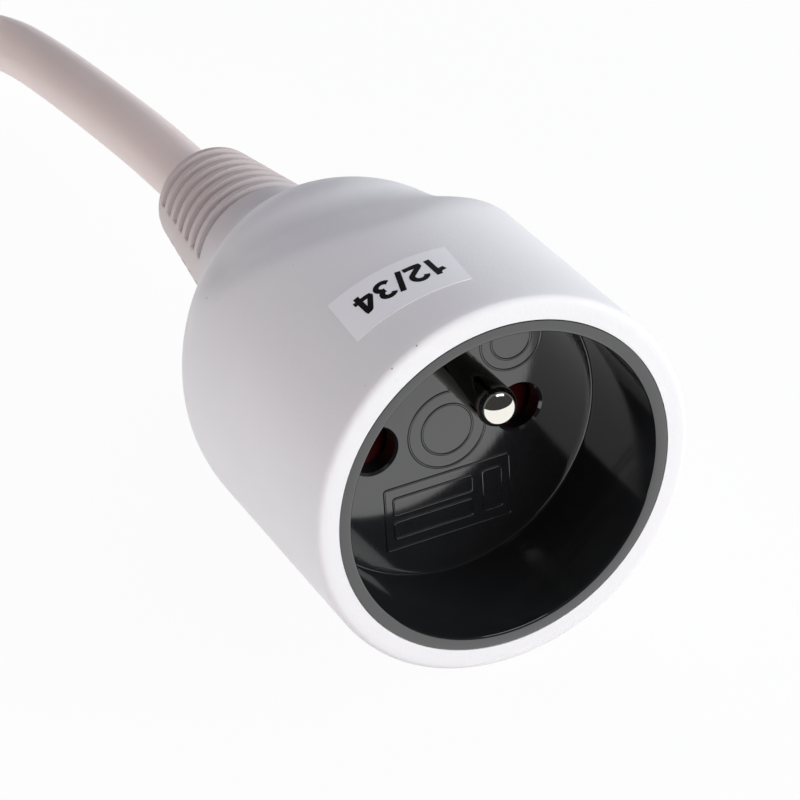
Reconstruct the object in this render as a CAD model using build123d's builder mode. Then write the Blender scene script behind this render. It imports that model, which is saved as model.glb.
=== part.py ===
"""Extension lead: moulded in-line socket, cord folded into a hank, angled plug. Millimetres, +Z up."""
import math
import os

from build123d import *

os.makedirs("parts", exist_ok=True)

# Socket, outside
socket_r = 23.8
rim_wall = 2.77
rim_round = 0.8
straight_length = 33.5
shoulder_angle = 36.0
neck_r = 10.6
neck_round = 14.0
relief_length = 25.0
relief_end_r = 7.4
relief_end_round = 1.5
groove_count = 7
groove_pitch = 2.71
groove_width = 1.1
groove_depth = 0.95
groove_inset = 2.85
groove_spine_angle = 15.0

# Finger scoops
scoop_start = 27.0
scoop_depth = 4.4
scoop_front_angle = 21.0
scoop_rear_angle = 4.0
scoop_round = 14.0
scoop_edge_round = 1.2

# Recess, holes and earth pin
lip_wall = 1.53
lip_chamfer = 0.35
recess_depth = 15.0
floor_t = 2.4
hole_r = 2.95
hole_chamfer = 0.35
hole_pitch = 19.0
pin_r = 2.4
earth_offset = 10.0
earth_proud = 0.35
pin_step = 0.2
pin_step_gap = 0.4
earth_flange_r = 3.4
earth_flange_t = 1.4
skirt_wall = 1.8

# Shutter and its spring
shutter_overlap = 0.3
shutter_width = 7.4
shutter_foot = 2.0
shutter_bridge_t = 1.9
shutter_gap = 0.3
stop_t = 1.5
rail_t = 1.5
spring_wire = 0.6
spring_r = 2.2
spring_turns = 5
spring_squeezed = 4.9
spring_gap = 0.05
post_r = 1.2
post_length = 2.6
ledge_half = 3.4

# Contacts and their carrier
cover_t = 2.3
block_length = 14.1
block_wall = 1.6
contact_strip = 0.6
contact_width = 5.4
contact_pinch = 4.3
contact_flare = 0.9
contact_length = 10.4
contact_gap = 0.2
crimp_r = 1.9
crimp_length = 4.6
boss_wall = 1.6
boss_length = 4.1
seat_gap = 0.05

# Cord
cord_r = 4.15
core_r = 1.3
core_spread = 1.8
cord_inside = 15.0
cord_lead = 10.5
cord_gap = 0.05

# Hank
fold_r = 25.2
strand_pitch = 8.4
strand_columns = 2
strand_layers = 3
hank_straight = 57.0
hank_x = -14.58
hank_distance = 132.6
hank_bevel = 2.6
tie_width = 9.0
tie_along = 26.0
tie_t = 0.6
tie_gap = 0.03
tie_bevel = 1.2

# Plug
plug_r = 18.4
plug_height = 34.0
plug_back_round = 4.5
plug_face_round = 1.0
plug_axis_z = 16.0
plug_x = 5.4
plug_distance = 10.0
plug_relief_length = 24.0
plug_arm_r = 9.4
plug_groove_count = 5
plug_insert_r = 16.4
plug_insert_t = 11.6
plug_flat = 15.8
plug_pin_length = 19.0
plug_pin_root = 4.0
plug_earth_r = 2.55
plug_groove_w = 6.8
strap_width = 4.2
strap_t = 0.8
strap_socket_wall = 0.9

# Positions worked out from the sizes above
insert_r = socket_r - rim_wall
recess_r = insert_r - lip_wall
skirt_r = insert_r - skirt_wall
half_pitch = hole_pitch / 2
pin_root_r = pin_r - pin_step
shoulder_s = straight_length + socket_r * math.tan(math.radians(shoulder_angle / 2))
neck_s = shoulder_s + (socket_r - neck_r) / math.tan(math.radians(shoulder_angle))
socket_length = neck_s + relief_length
mouth_y = -(socket_length - earth_proud) / 2
socket_end_y = mouth_y + socket_length
relief_slope = (neck_r - relief_end_r) / relief_length
groove_arc = 180 - 2 * groove_spine_angle

floor_s = recess_depth + floor_t
shutter_rise = 2 * (hole_r + shutter_overlap)
shutter_front_s = floor_s + shutter_gap
shutter_back_s = shutter_front_s + shutter_rise
cover_s = shutter_back_s + shutter_gap
insert_length = cover_s + cover_t
block_end_s = insert_length + block_length
shutter_top = hole_r + shutter_overlap
shutter_low = -shutter_top - shutter_foot
ledge_top = shutter_low - shutter_rise - spring_squeezed
chamber_half_w = contact_width / 2 + contact_gap
leaf_z = contact_pinch / 2 + contact_strip / 2
chamber_half_h = leaf_z + contact_flare + contact_strip / 2 + contact_gap
block_half_w = half_pitch + chamber_half_w + block_wall
block_half_h = chamber_half_h + block_wall
contact_front_s = insert_length + contact_gap
contact_rear_s = contact_front_s + contact_length
crimp_end_s = contact_rear_s + contact_strip / 2 + crimp_length
earth_rear_s = insert_length + boss_length
sheath_s = socket_length - cord_inside

outer_fold_r = fold_r + (strand_columns - 1) * strand_pitch
hank_outer_r = outer_fold_r + cord_r
hank_inner_r = fold_r - cord_r
hank_height = 2 * cord_r + (strand_layers - 1) * strand_pitch
hank_near_y = socket_end_y + hank_distance
hank_mid_y = hank_near_y + hank_straight / 2
hank_far_y = hank_near_y + hank_straight
hank_step_r = fold_r + strand_pitch / 2
hank_step_height = hank_height - strand_pitch
outer_strand_z = hank_step_height - cord_r
inner_strand_z = hank_height - cord_r

plug_relief_end_y = hank_far_y + hank_outer_r + plug_distance
plug_arm_y = plug_relief_end_y + plug_relief_length
plug_y = plug_arm_y + math.sqrt(plug_r ** 2 - plug_arm_r ** 2)
plug_relief_slope = (plug_arm_r - relief_end_r) / plug_relief_length
plug_sheath_y = plug_relief_end_y + cord_inside
plug_seat_z = plug_height - plug_insert_t
plug_strap_z = plug_seat_z - strap_t


def spot(x, s, z):
    """Frame position of a point at x, s behind the mouth and z above the socket's axis."""
    return (x, mouth_y + s, socket_r + z)


def across(s):
    """Plane square to the socket's axis, s behind the mouth, with local y up."""
    return Plane(origin=spot(0, s, 0), x_dir=(1, 0, 0), z_dir=(0, -1, 0))


def along(origin, angle):
    """Plane through a lengthwise axis, with local x along it and local y outwards at an angle."""
    turn = math.radians(angle)
    return Plane(origin=origin, x_dir=(0, 1, 0), z_dir=(math.sin(turn), 0, -math.cos(turn)))


def nearest(shapes, x, y):
    """Sketch corner closest to a local point."""
    return shapes.sort_by_distance(Vector(x, y, 0))[0]


def corner_radii(points):
    """Largest even radius for each corner of a route, from its runs and turns."""
    radii = []
    for before, corner, after in zip(points, points[1:], points[2:]):
        run_in = Vector(corner) - Vector(before)
        run_out = Vector(after) - Vector(corner)
        half_turn = math.radians(run_in.get_angle(run_out)) / 2
        radii.append(0.45 * min(run_in.length, run_out.length) / math.tan(half_turn))
    return radii


side_plane = along(spot(0, 0, 0), 90)
socket_axis = Axis(spot(0, 0, 0), (0, 1, 0))

# Routes of the cores inside the socket and of the cord
core_places = {"line": (core_spread * 0.866, -core_spread / 2),
               "neutral": (-core_spread * 0.866, -core_spread / 2),
               "earth": (0, core_spread)}
core_bend_s = sheath_s - 9.0
core_routes = {}
for name, side in (("line", 1), ("neutral", -1)):
    end_x, end_z = core_places[name]
    core_routes[name] = [spot(side * half_pitch, crimp_end_s, 0),
                         spot(side * half_pitch, crimp_end_s + 3.6, 0),
                         spot(end_x, core_bend_s, end_z),
                         spot(end_x, sheath_s, end_z)]
core_routes["earth"] = [spot(0, earth_rear_s, earth_offset),
                        spot(0, earth_rear_s + 7.0, earth_offset),
                        spot(0, core_bend_s, core_spread),
                        spot(0, sheath_s, core_spread)]

strand_x = hank_x + outer_fold_r
cord_route = [(0, mouth_y + sheath_s, socket_r),
              (0, socket_end_y + cord_lead, socket_r),
              (0, socket_end_y + 36, socket_r - 2.6),
              (0, socket_end_y + 60, socket_r - 5.7),
              (0.3, hank_near_y - 40, cord_r + 3.9),
              (strand_x, hank_near_y - 12, cord_r),
              (strand_x, hank_near_y + 20, cord_r)]
tail_route = [(strand_x, hank_far_y - 19, outer_strand_z),
              (strand_x, hank_far_y + 10, outer_strand_z),
              (plug_x, plug_relief_end_y - 11.5, plug_axis_z),
              (plug_x, plug_sheath_y, plug_axis_z)]

# Cord, socket end
with BuildPart() as cord:
    with BuildLine() as cord_line:
        FilletPolyline(*cord_route, radius=corner_radii(cord_route))
    with BuildSketch(Plane(origin=cord_line.line @ 0, z_dir=cord_line.line % 0)):
        Circle(cord_r)
    sweep()
cord.part.label = "cord"

# Cores inside the socket
cores = {}
for name, route in core_routes.items():
    with BuildPart() as core:
        with BuildLine() as core_line:
            FilletPolyline(*route, radius=corner_radii(route))
        with BuildSketch(Plane(origin=core_line.line @ 0, z_dir=core_line.line % 0)):
            Circle(core_r)
        sweep()
    core.part.label = name + "_core"
    cores[name] = core

# Earth pin with its flange and tail
with BuildPart() as earth_pin:
    with BuildSketch(side_plane):
        with BuildLine():
            Polyline((pin_r - earth_proud, earth_offset + pin_r),
                     (recess_depth - pin_step_gap, earth_offset + pin_r),
                     (recess_depth - pin_step_gap, earth_offset + pin_root_r),
                     (floor_s, earth_offset + pin_root_r),
                     (floor_s, earth_offset + earth_flange_r),
                     (floor_s + earth_flange_t, earth_offset + earth_flange_r),
                     (floor_s + earth_flange_t, earth_offset + pin_root_r),
                     (earth_rear_s, earth_offset + pin_root_r),
                     (earth_rear_s, earth_offset),
                     (-earth_proud, earth_offset))
            RadiusArc((-earth_proud, earth_offset), (pin_r - earth_proud, earth_offset + pin_r), pin_r)
        make_face()
    revolve(axis=Axis(spot(0, 0, earth_offset), (0, 1, 0)))
earth_pin.part.label = "earth_pin"

# Black insert: recess, floor, holes, and the shutter's guides behind the floor
with BuildPart() as socket_insert:
    with BuildSketch(side_plane):
        with BuildLine():
            Polyline((0, recess_r), (0, insert_r), (insert_length, insert_r), (insert_length, skirt_r),
                     (floor_s, skirt_r), (floor_s, 0), (recess_depth, 0), (recess_depth, recess_r),
                     close=True)
        insert_face = make_face()
        chamfer(nearest(insert_face.vertices(), 0, recess_r), length=lip_chamfer)
    revolve(axis=socket_axis)
    with BuildSketch(across(recess_depth)):
        with Locations((half_pitch, 0), (-half_pitch, 0)):
            Circle(hole_r)
        with Locations((0, earth_offset)):
            Circle(pin_root_r + seat_gap)
    extrude(amount=-floor_t, mode=Mode.SUBTRACT)
    with BuildSketch(across(floor_s)):
        with Locations((half_pitch + shutter_width / 2 + shutter_gap + rail_t / 2, ledge_top / 2),
                       (-half_pitch - shutter_width / 2 - shutter_gap - rail_t / 2, ledge_top / 2)):
            Rectangle(rail_t, -ledge_top + 2 * shutter_top)
        with Locations((0, shutter_top + shutter_gap + stop_t / 2)):
            Rectangle(2 * half_pitch + shutter_width + 2 * shutter_gap, stop_t)
        with Locations((0, (ledge_top - skirt_r) / 2)):
            Rectangle(2 * ledge_half, skirt_r + ledge_top)
        Circle(skirt_r + seat_gap, mode=Mode.INTERSECT)
    extrude(amount=-(cover_s - floor_s))
    hole_rims = socket_insert.edges().filter_by(GeomType.CIRCLE).filter_by(
        lambda edge: abs(edge.radius - hole_r) < 0.01 and abs(edge.center().Y - mouth_y - recess_depth) < 0.01)
    chamfer(hole_rims, length=hole_chamfer)
socket_insert.part.label = "socket_insert"

# Shutter: two ramps on a bridge, with a post for the spring
with BuildPart() as shutter:
    for side in (1, -1):
        ramp_plane = side_plane.offset(side * half_pitch)
        with BuildSketch(ramp_plane):
            with BuildLine():
                Polyline((shutter_front_s, shutter_low), (shutter_front_s, -shutter_top),
                         (shutter_back_s - 0.3, shutter_top - 0.3), (shutter_back_s, shutter_top - 0.3),
                         (shutter_back_s, shutter_low), close=True)
            make_face()
        extrude(amount=shutter_width / 2, both=True)
    with BuildSketch(across(shutter_front_s + shutter_gap)):
        with Locations((0, shutter_low + shutter_bridge_t / 2)):
            Rectangle(hole_pitch, shutter_bridge_t)
    extrude(amount=-(shutter_back_s - shutter_front_s - shutter_gap))
    post_plane = Plane(origin=spot(0, (shutter_front_s + shutter_back_s) / 2, shutter_low), z_dir=(0, 0, -1))
    with BuildSketch(post_plane):
        Circle(post_r)
    extrude(amount=post_length)
shutter.part.label = "shutter"

# Return spring under the shutter
spring_height = shutter_low - ledge_top - spring_wire - 2 * spring_gap
spring_foot = spot(0, (shutter_front_s + shutter_back_s) / 2, ledge_top + spring_wire / 2 + spring_gap)
with BuildPart() as shutter_spring:
    with BuildLine() as spring_line:
        Helix(pitch=spring_height / spring_turns, height=spring_height, radius=spring_r, center=spring_foot)
    with BuildSketch(Plane(origin=spring_line.line @ 0, z_dir=spring_line.line % 0)):
        RegularPolygon(spring_wire / 2, 6)
    sweep(is_frenet=True)
shutter_spring.part.label = "shutter_spring"

# Rear cover of the insert with the contact chambers
with BuildPart() as contact_carrier:
    with BuildSketch(across(cover_s)):
        Circle(skirt_r - seat_gap)
    extrude(amount=-cover_t)
    with BuildSketch(across(insert_length)):
        Rectangle(2 * block_half_w, 2 * block_half_h)
    extrude(amount=-block_length)
    fillet(contact_carrier.edges().filter_by(Axis.Y).group_by(SortBy.LENGTH)[-1], radius=1.2)
    with BuildSketch(across(insert_length)):
        with Locations((0, earth_offset)):
            Circle(pin_r + boss_wall)
    extrude(amount=-boss_length)
    with BuildSketch(across(cover_s)):
        with Locations((0, earth_offset)):
            Circle(pin_root_r + seat_gap)
    extrude(amount=-(earth_rear_s - cover_s), mode=Mode.SUBTRACT)
    with BuildSketch(across(cover_s)):
        with Locations((half_pitch, 0), (-half_pitch, 0)):
            Rectangle(2 * chamber_half_w, 2 * chamber_half_h)
    extrude(amount=-(contact_rear_s + contact_strip / 2 + seat_gap - cover_s), mode=Mode.SUBTRACT)
    with BuildSketch(across(contact_rear_s)):
        with Locations((half_pitch, 0), (-half_pitch, 0)):
            Circle(crimp_r + seat_gap)
    extrude(amount=-(block_end_s - contact_rear_s), mode=Mode.SUBTRACT)
contact_carrier.part.label = "contact_carrier"

# Folded spring contacts with crimps
contacts = {}
for name, side in (("line", 1), ("neutral", -1)):
    leaf_points = [(contact_front_s, leaf_z + contact_flare), (contact_front_s + 2.6, leaf_z + 0.2),
                   (contact_front_s + 5.2, leaf_z), (contact_rear_s, leaf_z + 0.5)]
    mirrored = [(s, -z) for s, z in reversed(leaf_points)]
    with BuildPart() as contact:
        with BuildSketch(side_plane.offset(side * half_pitch)):
            with BuildLine() as leaf_line:
                Polyline(*leaf_points, *mirrored)
            trace(leaf_line.wires()[0], line_width=contact_strip)
        extrude(amount=contact_width / 2, both=True)
        with BuildSketch(across(contact_rear_s)):
            with Locations((side * half_pitch, 0)):
                Circle(crimp_r)
        extrude(amount=-(crimp_end_s - contact_rear_s))
    contact.part.label = name + "_contact"
    contacts[name] = contact

# White overmoulded body with its scoops, ribbed relief and moulded-in pockets
with BuildPart() as socket_body:
    with BuildSketch(side_plane):
        with BuildLine():
            Polyline((0, 0), (0, socket_r), (shoulder_s, socket_r), (neck_s, neck_r),
                     (socket_length, relief_end_r), (socket_length, 0), close=True)
        body_face = make_face()
        for corner_s, corner_r, radius in ((0, socket_r, rim_round), (shoulder_s, socket_r, socket_r),
                                           (neck_s, neck_r, neck_round),
                                           (socket_length, relief_end_r, relief_end_round)):
            body_face = fillet(nearest(body_face.vertices(), corner_s, corner_r), radius=radius)
    revolve(axis=socket_axis)
    scoop_low = socket_r - scoop_depth
    scoop_bottom_s = scoop_start + scoop_depth / math.tan(math.radians(scoop_front_angle))
    scoop_over = scoop_depth + 3.0
    scoop_front_s = scoop_bottom_s - scoop_over / math.tan(math.radians(scoop_front_angle))
    scoop_rear_s = scoop_bottom_s + scoop_over / math.tan(math.radians(scoop_rear_angle))
    with BuildSketch(side_plane):
        with BuildLine():
            Polyline((scoop_bottom_s, scoop_low), (scoop_rear_s, scoop_low + scoop_over),
                     (scoop_front_s, scoop_low + scoop_over), close=True)
        scoop_face = make_face()
        fillet(nearest(scoop_face.vertices(), scoop_bottom_s, scoop_low), radius=scoop_round)
        mirror(about=Plane.XZ)
    extrude(amount=socket_r + scoop_over, both=True, mode=Mode.SUBTRACT)
    scoop_rims = socket_body.edges(Select.LAST).filter_by(GeomType.LINE, reverse=True).sort_by(Axis.Y)
    fillet(scoop_rims, radius=scoop_edge_round)
    for start in (180 - groove_spine_angle, 360 - groove_spine_angle):
        with BuildSketch(along(spot(0, 0, 0), start)):
            for index in range(groove_count):
                groove_s = socket_length - groove_inset - index * groove_pitch
                groove_r = relief_end_r + relief_slope * (socket_length - groove_s)
                with Locations((groove_s, groove_r)):
                    Rectangle(groove_width, 2 * groove_depth)
        revolve(axis=socket_axis, revolution_arc=groove_arc, mode=Mode.SUBTRACT)
    with BuildSketch(across(0)):
        Circle(insert_r + seat_gap)
    extrude(amount=-insert_length, mode=Mode.SUBTRACT)
    with BuildSketch(across(insert_length)):
        Rectangle(2 * block_half_w, 2 * block_half_h)
    extrude(amount=-block_length, mode=Mode.SUBTRACT)
    with BuildSketch(across(insert_length)):
        with Locations((0, earth_offset)):
            Circle(pin_r + boss_wall)
    extrude(amount=-boss_length, mode=Mode.SUBTRACT)
    with BuildSketch(across(block_end_s)):
        with Locations((half_pitch, 0), (-half_pitch, 0)):
            Circle(crimp_r + seat_gap)
    extrude(amount=-(crimp_end_s - block_end_s), mode=Mode.SUBTRACT)
    with BuildSketch(across(sheath_s)):
        Circle(cord_r + cord_gap)
    extrude(amount=-cord_inside, mode=Mode.SUBTRACT)
    for route in core_routes.values():
        with BuildLine() as channel_line:
            FilletPolyline(*route, radius=corner_radii(route))
        with BuildSketch(Plane(origin=channel_line.line @ 0, z_dir=channel_line.line % 0)):
            Circle(core_r + seat_gap)
        sweep(mode=Mode.SUBTRACT)
socket_body.part.label = "socket_body"

# Tie round one run of the hank
tie_low_x = hank_x + hank_inner_r - tie_gap - tie_t
tie_high_x = hank_x + hank_outer_r + tie_gap + tie_t
tie_top = hank_height + tie_gap + tie_t
tie_slant = strand_x + outer_strand_z + math.sqrt(2) * (cord_r + tie_gap + tie_t)
tie_plane = Plane(origin=(0, hank_near_y + tie_along, 0), x_dir=(1, 0, 0), z_dir=(0, -1, 0))
with BuildPart() as hank_tie:
    with BuildSketch(tie_plane):
        with BuildLine():
            Polyline((tie_low_x, 0), (tie_high_x, 0), (tie_high_x, tie_slant - tie_high_x),
                     (tie_slant - tie_top, tie_top), (tie_low_x, tie_top), close=True)
        tie_face = make_face()
        for corner_x, corner_z in ((tie_low_x, 0), (tie_high_x, 0), (tie_low_x, tie_top)):
            tie_face = chamfer(nearest(tie_face.vertices(), corner_x, corner_z), length=tie_bevel)
        offset(amount=-tie_t, kind=Kind.INTERSECTION, mode=Mode.SUBTRACT)
    extrude(amount=tie_width / 2, both=True)
hank_tie.part.label = "hank_tie"

# Put-away length as the outer shape of its hank
with BuildPart() as cord_hank:
    with BuildSketch(Plane.XY):
        with Locations((hank_x, hank_mid_y)):
            SlotCenterToCenter(hank_straight, 2 * hank_outer_r, rotation=90)
            SlotCenterToCenter(hank_straight, 2 * hank_inner_r, rotation=90, mode=Mode.SUBTRACT)
    extrude(amount=hank_step_height)
    with BuildSketch(Plane.XY.offset(hank_step_height)):
        with Locations((hank_x, hank_mid_y)):
            SlotCenterToCenter(hank_straight, 2 * hank_step_r, rotation=90)
            SlotCenterToCenter(hank_straight, 2 * hank_inner_r, rotation=90, mode=Mode.SUBTRACT)
    extrude(amount=strand_pitch)
    hank_rims = cord_hank.edges().filter_by(Axis.Z, reverse=True).group_by(Axis.Z)
    chamfer(hank_rims[0] + hank_rims[-1], length=hank_bevel)
    add(hank_tie.part, mode=Mode.SUBTRACT)
cord_hank.part.label = "cord_hank"

# Last stretch of cord, up to the plug
with BuildPart() as cord_tail:
    with BuildLine() as tail_line:
        FilletPolyline(*tail_route, radius=corner_radii(tail_route))
    with BuildSketch(Plane(origin=tail_line.line @ 0, z_dir=tail_line.line % 0)):
        Circle(cord_r)
    sweep()
cord_tail.part.label = "cord_tail"

# Plug pins
plug_pins = {}
for name, side in (("line", 1), ("neutral", -1)):
    pin_foot = Plane(origin=(plug_x + side * half_pitch, plug_y, plug_seat_z - plug_pin_root))
    with BuildPart() as plug_pin:
        with BuildSketch(pin_foot):
            Circle(pin_root_r)
        extrude(amount=plug_pin_root + plug_insert_t + pin_step_gap)
        with BuildSketch(pin_foot.offset(plug_pin_root + plug_insert_t + pin_step_gap)):
            Circle(pin_r)
        extrude(amount=plug_pin_length - pin_step_gap)
        fillet(plug_pin.edges().group_by(Axis.Z)[-1], radius=pin_r - 0.6)
    plug_pin.part.label = "plug_" + name + "_pin"
    plug_pins[name] = plug_pin

# Plug earth strap: cross bar, two side contacts and the socket for an earth pin
with BuildPart() as plug_earth_strap:
    with BuildSketch(Plane(origin=(plug_x, plug_y, plug_strap_z))):
        Rectangle(strap_width, 2 * (plug_flat + strap_t))
    extrude(amount=strap_t)
    with BuildSketch(Plane(origin=(plug_x, plug_y, plug_strap_z))):
        with Locations((0, plug_flat + strap_t / 2), (0, -plug_flat - strap_t / 2)):
            Rectangle(strap_width, strap_t)
    extrude(amount=strap_t + plug_insert_t - 1.2)
    with BuildSketch(Plane(origin=(plug_x, plug_y + earth_offset, plug_seat_z))):
        Circle(plug_earth_r + strap_socket_wall)
        Circle(plug_earth_r, mode=Mode.SUBTRACT)
    extrude(amount=plug_insert_t - 1.2)
plug_earth_strap.part.label = "plug_earth_strap"

# Plug insert: hard disc with two flats, holding the pins
with BuildPart() as plug_insert:
    with BuildSketch(Plane(origin=(plug_x, plug_y, plug_seat_z))):
        Circle(plug_insert_r)
        Rectangle(2 * plug_insert_r, 2 * plug_flat, mode=Mode.INTERSECT)
        with Locations((half_pitch, 0), (-half_pitch, 0)):
            Circle(pin_root_r + seat_gap, mode=Mode.SUBTRACT)
        with Locations((0, earth_offset)):
            Circle(plug_earth_r + strap_socket_wall + seat_gap, mode=Mode.SUBTRACT)
    extrude(amount=plug_insert_t)
plug_insert.part.label = "plug_insert"

# Plug cores
plug_core_routes = {}
plug_root_z = plug_seat_z - plug_pin_root
for name, side in (("line", 1), ("neutral", -1)):
    end_x, end_z = core_places[name]
    plug_core_routes[name] = [(plug_x + end_x, plug_sheath_y, plug_axis_z + end_z),
                              (plug_x + end_x, plug_sheath_y + 3.0, plug_axis_z + end_z),
                              (plug_x + side * half_pitch, plug_y - 6.0, plug_axis_z - 5.0),
                              (plug_x + side * half_pitch, plug_y, plug_axis_z - 5.0),
                              (plug_x + side * half_pitch, plug_y, plug_root_z)]
plug_core_routes["earth"] = [(plug_x, plug_sheath_y, plug_axis_z + core_spread),
                             (plug_x, plug_sheath_y + 5.0, plug_axis_z + core_spread),
                             (plug_x, plug_sheath_y + 5.0, plug_strap_z)]
plug_cores = {}
for name, route in plug_core_routes.items():
    with BuildPart() as core:
        with BuildLine() as core_line:
            FilletPolyline(*route, radius=[min(radius, 6.0) for radius in corner_radii(route)])
        with BuildSketch(Plane(origin=core_line.line @ 0, z_dir=core_line.line % 0)):
            Circle(core_r)
        sweep()
    core.part.label = "plug_" + name + "_core"
    plug_cores[name] = core

# Plug body with its ribbed relief, side grooves and moulded-in pockets
with BuildPart() as plug_body:
    with BuildSketch(Plane(origin=(plug_x, plug_y, 0), x_dir=(1, 0, 0), z_dir=(0, -1, 0))):
        with BuildLine():
            Polyline((0, 0), (plug_r, 0), (plug_r, plug_height), (0, plug_height), close=True)
        plug_face = make_face()
        plug_face = fillet(nearest(plug_face.vertices(), plug_r, 0), radius=plug_back_round)
        fillet(nearest(plug_face.vertices(), plug_r, plug_height), radius=plug_face_round)
    revolve(axis=Axis((plug_x, plug_y, 0), (0, 0, 1)))
    relief_plane = Plane(origin=(plug_x, plug_relief_end_y, plug_axis_z), x_dir=(0, 1, 0), z_dir=(1, 0, 0))
    relief_axis = Axis((plug_x, plug_relief_end_y, plug_axis_z), (0, 1, 0))
    with BuildSketch(relief_plane):
        with BuildLine():
            Polyline((0, 0), (0, relief_end_r), (plug_relief_length, plug_arm_r),
                     (plug_y - plug_relief_end_y, plug_arm_r), (plug_y - plug_relief_end_y, 0), close=True)
        relief_face = make_face()
        fillet(nearest(relief_face.vertices(), 0, relief_end_r), radius=1.4)
    revolve(axis=relief_axis)
    for start in (180 - groove_spine_angle, 360 - groove_spine_angle):
        with BuildSketch(along((plug_x, plug_relief_end_y, plug_axis_z), start)):
            for index in range(plug_groove_count):
                groove_s = groove_inset + index * groove_pitch
                with Locations((groove_s, relief_end_r + plug_relief_slope * groove_s)):
                    Rectangle(groove_width, 2 * groove_depth)
        revolve(axis=relief_axis, revolution_arc=groove_arc, mode=Mode.SUBTRACT)
    with BuildSketch(Plane(origin=(plug_x, plug_y, plug_seat_z))):
        Circle(plug_insert_r + seat_gap)
        Rectangle(2 * plug_r, 2 * plug_flat, mode=Mode.INTERSECT)
    extrude(amount=plug_insert_t, mode=Mode.SUBTRACT)
    with BuildSketch(Plane(origin=(plug_x, plug_y, plug_strap_z))):
        Rectangle(strap_width + 2 * seat_gap, 2 * (plug_flat + strap_t))
    extrude(amount=strap_t, mode=Mode.SUBTRACT)
    with BuildSketch(Plane(origin=(plug_x, plug_y, plug_strap_z))):
        with Locations((0, plug_flat + plug_r / 2), (0, -plug_flat - plug_r / 2)):
            Rectangle(plug_groove_w, plug_r)
    extrude(amount=plug_height - plug_strap_z, mode=Mode.SUBTRACT)
    with BuildSketch(Plane(origin=(plug_x, plug_y, plug_root_z))):
        with Locations((half_pitch, 0), (-half_pitch, 0)):
            Circle(pin_root_r + seat_gap)
    extrude(amount=plug_pin_root, mode=Mode.SUBTRACT)
    with BuildSketch(Plane(origin=(plug_x, plug_relief_end_y, plug_axis_z), x_dir=(1, 0, 0), z_dir=(0, -1, 0))):
        Circle(cord_r + cord_gap)
    extrude(amount=-cord_inside, mode=Mode.SUBTRACT)
    for route in plug_core_routes.values():
        with BuildLine() as channel_line:
            FilletPolyline(*route, radius=[min(radius, 6.0) for radius in corner_radii(route)])
        with BuildSketch(Plane(origin=channel_line.line @ 0, z_dir=channel_line.line % 0)):
            Circle(core_r + seat_gap)
        sweep(mode=Mode.SUBTRACT)
plug_body.part.label = "plug_body"

pieces = [socket_body, socket_insert, contact_carrier, earth_pin, shutter, shutter_spring,
          contacts["line"], contacts["neutral"], cores["line"], cores["neutral"], cores["earth"],
          cord, cord_hank, hank_tie, cord_tail,
          plug_body, plug_insert, plug_pins["line"], plug_pins["neutral"], plug_earth_strap,
          plug_cores["line"], plug_cores["neutral"], plug_cores["earth"]]
for piece in pieces:
    export_step(piece.part, "parts/" + piece.part.label + ".step")
    print(piece.part.label, round(piece.part.volume, 1), len(piece.part.solids()))
print("cord radii", [round(radius, 1) for radius in corner_radii(cord_route)])
print("cord volume share", cord.part.volume / (math.pi * cord_r ** 2 * cord_line.wires()[0].length))
print("tail radii", [round(radius, 1) for radius in corner_radii(tail_route)])
print("tail volume share", cord_tail.part.volume / (math.pi * cord_r ** 2 * tail_line.wires()[0].length))
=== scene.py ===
"""Looks of an extension lead: moulded socket, black cup, cord folded into a hank, plug and stage."""
import math

import bmesh
import bpy
import numpy as np
from bpy.props import FloatProperty, FloatVectorProperty, IntProperty, PointerProperty
from mathutils import Matrix, Vector


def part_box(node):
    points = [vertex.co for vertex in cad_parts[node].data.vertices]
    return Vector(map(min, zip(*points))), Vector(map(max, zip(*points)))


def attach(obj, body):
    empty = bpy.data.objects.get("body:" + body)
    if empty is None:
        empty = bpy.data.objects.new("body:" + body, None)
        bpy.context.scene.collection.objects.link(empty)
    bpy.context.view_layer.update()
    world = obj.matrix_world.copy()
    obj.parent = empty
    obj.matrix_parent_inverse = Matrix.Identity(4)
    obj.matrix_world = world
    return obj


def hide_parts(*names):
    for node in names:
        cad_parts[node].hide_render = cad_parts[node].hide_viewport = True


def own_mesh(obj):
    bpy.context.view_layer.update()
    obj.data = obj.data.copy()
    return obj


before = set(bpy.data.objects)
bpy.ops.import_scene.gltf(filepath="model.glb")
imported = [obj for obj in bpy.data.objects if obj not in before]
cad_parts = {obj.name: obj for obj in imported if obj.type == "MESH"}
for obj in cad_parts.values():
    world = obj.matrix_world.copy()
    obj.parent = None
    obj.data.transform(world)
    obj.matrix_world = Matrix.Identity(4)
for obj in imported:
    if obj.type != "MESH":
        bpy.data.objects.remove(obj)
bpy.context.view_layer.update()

bl_info = {
    "name": "Extension lead",
    "version": (1, 0, 0),
    "blender": (4, 5, 0),
    "location": "View3D > Sidebar > Lead",
    "description": "Builds the looks of an extension lead round its packed frame",
    "category": "Object",
}

# Lengths are in millimetres: s runs back from the mouth and r out from the socket's axis
MM = 0.001
body_low, body_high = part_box("socket_body")
mouth_y = body_low.y / MM
socket_end_y = body_high.y / MM
socket_r = (body_high.x - body_low.x) / 2 / MM
socket_length = socket_end_y - mouth_y
hank_low, hank_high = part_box("cord_hank")
plug_low, plug_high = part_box("plug_body")

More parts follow.
